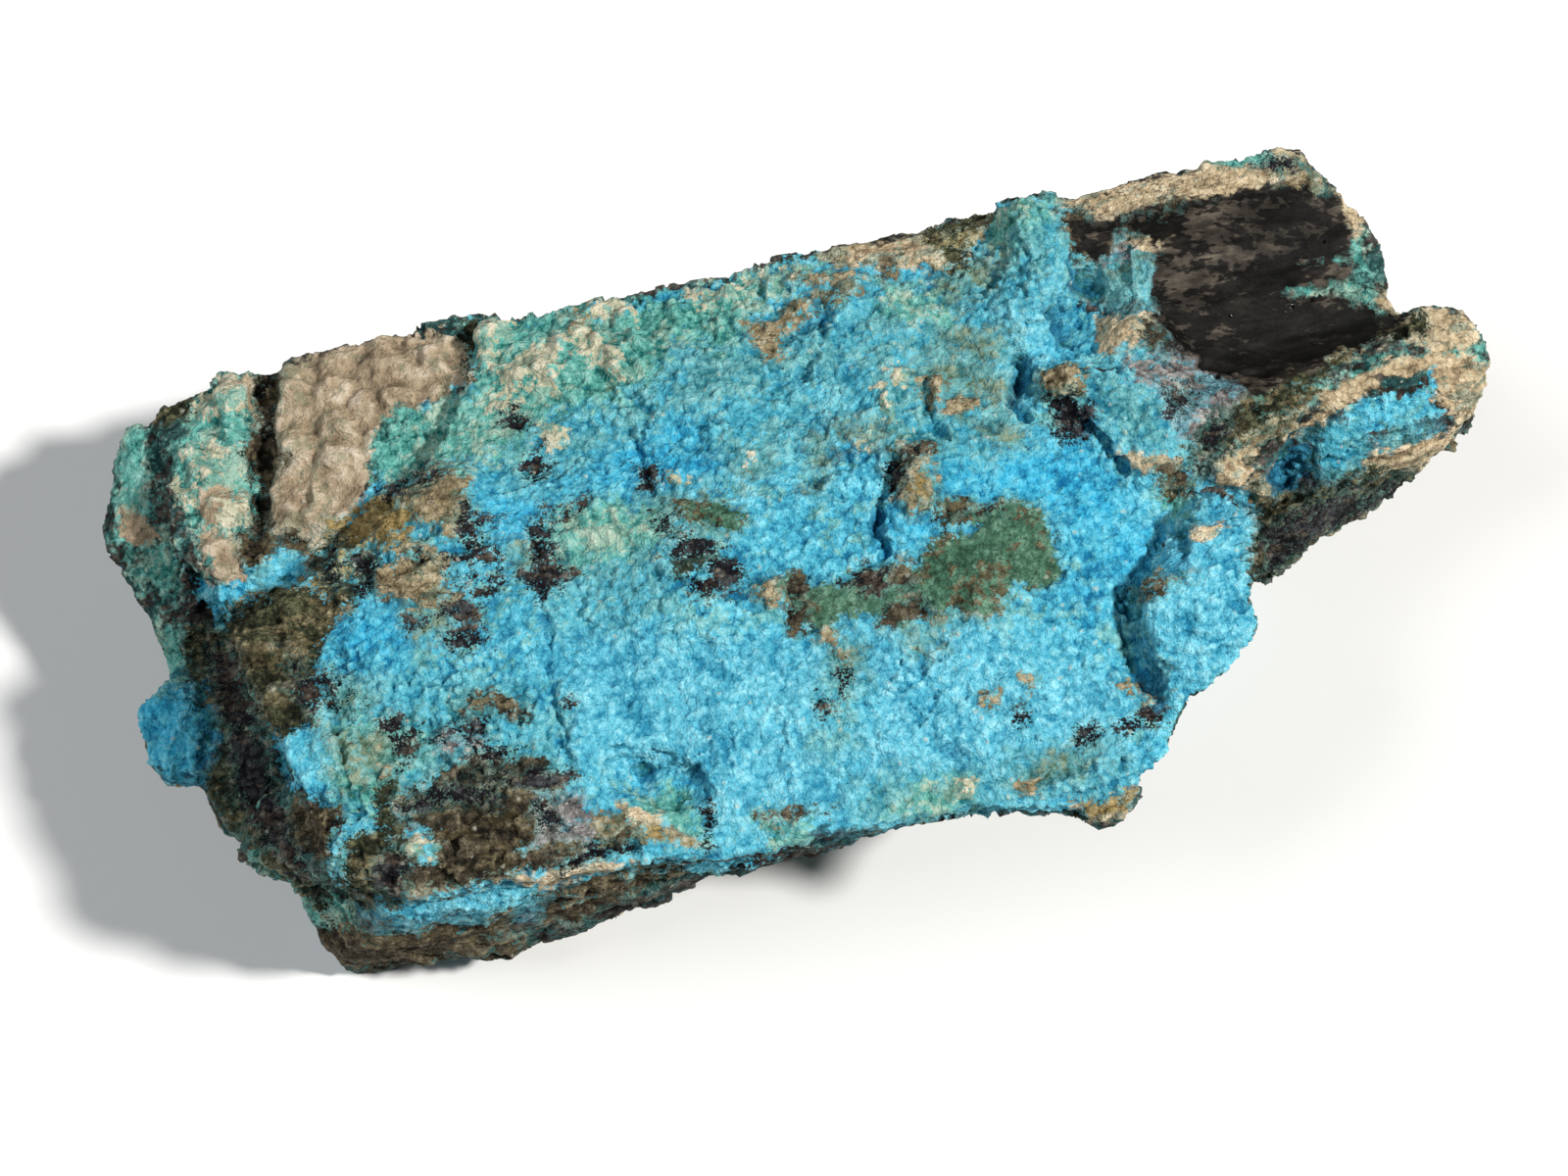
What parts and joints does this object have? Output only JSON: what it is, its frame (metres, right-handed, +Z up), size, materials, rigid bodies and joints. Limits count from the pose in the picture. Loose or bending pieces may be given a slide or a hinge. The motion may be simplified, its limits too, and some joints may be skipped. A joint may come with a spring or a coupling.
{
  "type": "raw decrespignyite",
  "caption": "Broken block of copper-stained rock with a crumbly sky-blue decrespignyite crust on its upper face, a display mineral specimen that lies on its flat underside.",
  "frame": {"origin": "middle of the box round the rock, at the level of its flat underside", "axes": "+X along the longest side towards the narrow tail, +Z up out of the blue face, +Y towards the straight back edge"},
  "size_m": [0.0618, 0.032, 0.0188],
  "materials": {
    "crusted_rock": "dry powdery sky-blue crust over brown, tan, teal and black rock, with a darker semi-gloss slickenside at one end"
  },
  "bodies": {
    "root": {"decrespignyite_rock": "crusted_rock"}
  },
  "joints": []
}
